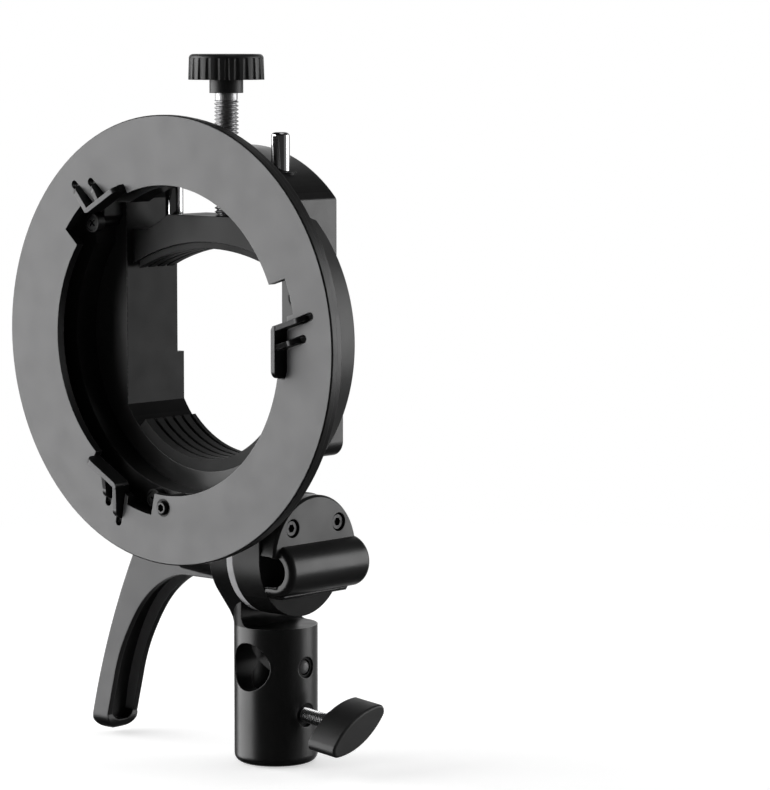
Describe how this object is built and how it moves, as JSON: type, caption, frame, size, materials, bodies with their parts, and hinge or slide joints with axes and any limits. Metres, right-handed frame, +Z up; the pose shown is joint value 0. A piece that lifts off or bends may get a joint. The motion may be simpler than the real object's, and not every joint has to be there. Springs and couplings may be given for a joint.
{
  "type": "umbrella swivel bracket",
  "caption": "Lighting bracket: bayonet ring and two-jaw flash clamp on a lever-locked tilting joint with an umbrella channel and a stand socket.",
  "frame": {"origin": "centre of the stand socket's mouth", "axes": "+Z up along the socket's bore, -Y the way the bayonet ring faces, +X the umbrella channel's side"},
  "size_m": [0.1536, 0.0768, 0.236],
  "materials": {
    "ring_black": "matte",
    "clip_steel": "satin",
    "body_plastic": "matte",
    "cast_black": "matte",
    "black_screw": "satin",
    "pin_steel": "satin",
    "brass_nut": "satin",
    "rubber_pad": "matte",
    "bright_rod": "polished",
    "knob_plastic": "matte",
    "plug_grey": "matte",
    "washer_plastic": "satin"
  },
  "bodies": {
    "base": {"socket_casting": "cast_black", "socket_plug": "plug_grey", "screw_insert": "black_screw", "friction_washer": "washer_plastic"},
    "wing_screw": {"wing_stud": "pin_steel"},
    "wing": {"wing_knob": "knob_plastic"},
    "lever": {"lever_handle": "cast_black", "lever_nut": "pin_steel"},
    "head": {"bayonet_ring": "ring_black", "clip_right": "clip_steel", "clip_top": "clip_steel", "clip_low": "clip_steel", "front_body": "body_plastic", "body_screws": "black_screw", "pin_bush": "clip_steel", "clamp_housing": "cast_black", "clamp_nut": "brass_nut", "cradle_pad": "rubber_pad", "tilt_block": "cast_black", "saddle_screws": "black_screw", "tilt_bolt": "pin_steel", "umbrella_cover": "cast_black", "cover_screws": "black_screw"},
    "pin": {"lock_pin": "pin_steel", "pin_spring": "pin_steel"},
    "jaw": {"clamp_jaw": "cast_black", "jaw_pad": "rubber_pad", "guide_rod_left": "bright_rod", "guide_rod_right": "bright_rod"},
    "clamp_screw": {"clamp_rod": "bright_rod", "clamp_knob": "knob_plastic", "retaining_ring": "pin_steel"}
  },
  "joints": [
    {"name": "head_tilt", "type": "hinge", "parent": "base", "child": "head", "pos_m": [0, 0, 0.0708], "axis": [1, 0, 0], "range_deg": [-85, 70]},
    {"name": "lever_turn", "type": "hinge", "parent": "base", "child": "lever", "pos_m": [0, 0, 0.0708], "axis": [1, 0, 0], "range_deg": [-75, 110]},
    {"name": "wing_travel", "type": "slide", "parent": "base", "child": "wing_screw", "axis": [0.9945, 0, -0.1045], "range_m": [-0.005, 0.004]},
    {"name": "wing_turn", "type": "hinge", "parent": "wing_screw", "child": "wing", "pos_m": [0.014, 0, 0.017], "axis": [0.9945, 0, -0.1045], "range_deg": [-2260, 1810]},
    {"name": "lock_pin_push", "type": "slide", "parent": "head", "child": "pin", "axis": [0, 1, 0], "range_m": [0, 0.003], "stiffness_N_per_m": 400, "springref_m": -0.003, "deforming": ["pin_spring"]},
    {"name": "jaw_travel", "type": "slide", "parent": "head", "child": "jaw", "axis": [0, 0, 1], "range_m": [-0.012, 0.008]},
    {"name": "clamp_turn", "type": "hinge", "parent": "jaw", "child": "clamp_screw", "pos_m": [0, -0.0227, 0.22], "axis": [0, 0, 1], "range_deg": [-3460, 2310]}
  ],
  "couplings": [
    {"joint": "wing_turn", "follows": "wing_travel", "rad_per_m": 7854},
    {"joint": "clamp_turn", "follows": "jaw_travel", "rad_per_m": 5026.5}
  ]
}
